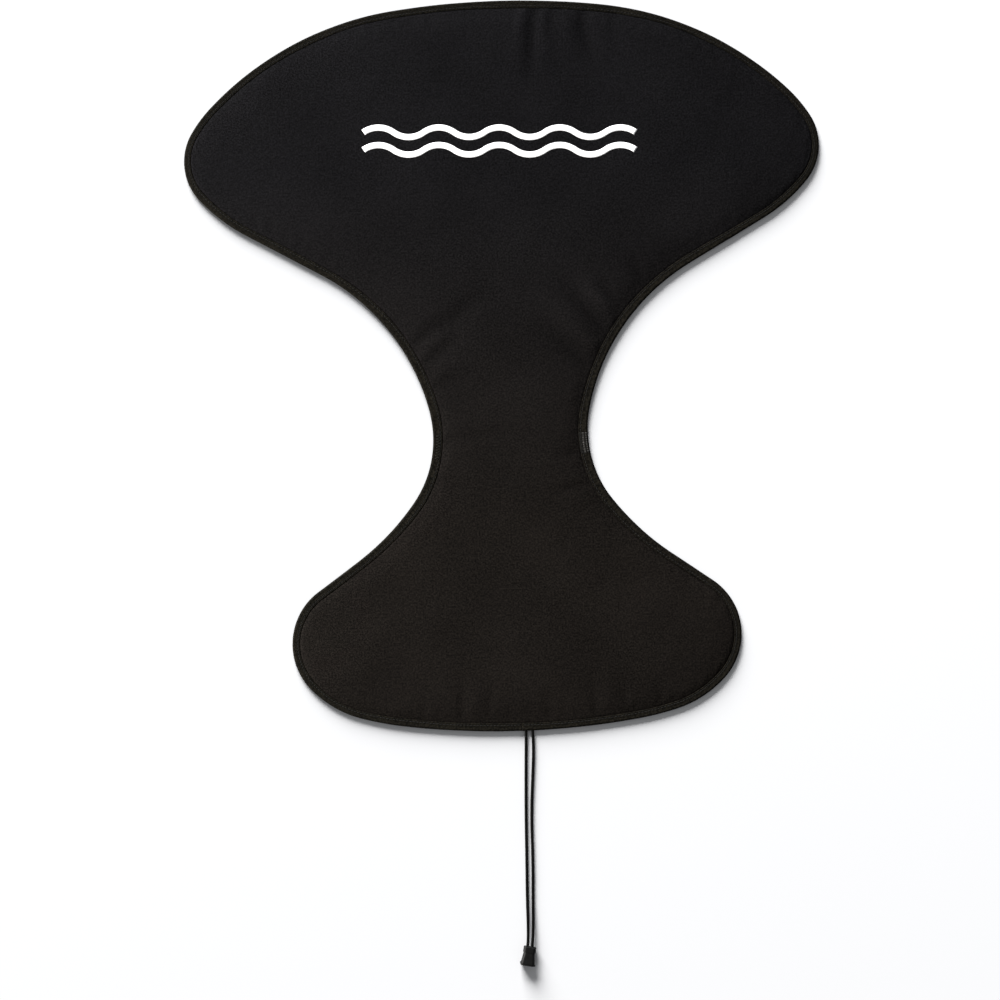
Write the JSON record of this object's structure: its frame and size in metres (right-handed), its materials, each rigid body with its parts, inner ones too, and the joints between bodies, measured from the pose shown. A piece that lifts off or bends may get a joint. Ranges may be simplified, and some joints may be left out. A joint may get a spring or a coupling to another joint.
{
  "type": "padded drawcord cover",
  "caption": "Flat hourglass-shaped padded fabric cover with a bound rim, an elastic draw cord inside the rim and a moulded cord end on its free ends.",
  "frame": {"origin": "on the surface the cover lies on, below the middle of the pad's outline", "axes": "+X to the right across the pad, +Y along the pad towards its wide lobe, +Z out of the printed face"},
  "size_m": [0.6358, 0.9667, 0.0102],
  "materials": {
    "face_fabric": "black coated woven polyester with a fine plain weave and a soft sheen",
    "foam": "closed-cell foam",
    "lining": "plain woven nylon lining",
    "binding_tape": "ribbed woven binding tape, folded over the edge",
    "elastic_cord": "braided sheath over a rubber core",
    "thread": "bonded polyester thread with a slight shine",
    "print_ink": "white screen print",
    "woven_label": "narrow woven label tape with a plain rib",
    "moulded_plastic": "fine spark-eroded texture, satin on worn edges"
  },
  "bodies": {
    "upper_pad": {"face_fabric_upper": "face_fabric", "foam_upper": "foam", "back_lining_upper": "lining", "binding_upper": "binding_tape", "rim_cord_upper": "elastic_cord", "needle_thread_upper": "thread", "bobbin_thread_upper": "thread", "printed_mark": "print_ink"},
    "lower_pad": {"face_fabric_lower": "face_fabric", "foam_lower": "foam", "back_lining_lower": "lining", "binding_lower": "binding_tape", "rim_cord_lower": "elastic_cord", "needle_thread_lower": "thread", "bobbin_thread_lower": "thread", "side_label": "woven_label", "waist_bar_tack": "thread"},
    "cord_run": {"cord_leg_left": "elastic_cord", "cord_leg_right": "elastic_cord"},
    "cord_end": {"cord_end_body": "moulded_plastic", "cord_knot": "elastic_cord"},
    "cord_end_cap": {"cord_end_lid": "moulded_plastic"}
  },
  "joints": [
    {"name": "waist_fold", "type": "hinge", "parent": "upper_pad", "child": "lower_pad", "pos_m": [0, -0.064, 0.0078], "axis": [-1, 0, 0], "range_deg": [0, 165]},
    {"name": "cord_swing", "type": "hinge", "parent": "lower_pad", "child": "cord_run", "pos_m": [0.0093, -0.364, 0.0021], "axis": [0, 0, 1], "range_deg": [-60, 60]},
    {"name": "draw_cord_pull", "type": "slide", "parent": "cord_run", "child": "cord_end", "axis": [-0.028, -0.9996, 0], "range_m": [0, 0.1], "stiffness_N_per_m": 60, "deforming": ["cord_leg_left", "cord_leg_right"]},
    {"name": "cord_end_lid_hinge", "type": "hinge", "parent": "cord_end", "child": "cord_end_cap", "pos_m": [-0.00664, -0.59662, 0.00515], "axis": [0, 0, -1], "range_deg": [0, 110]}
  ]
}
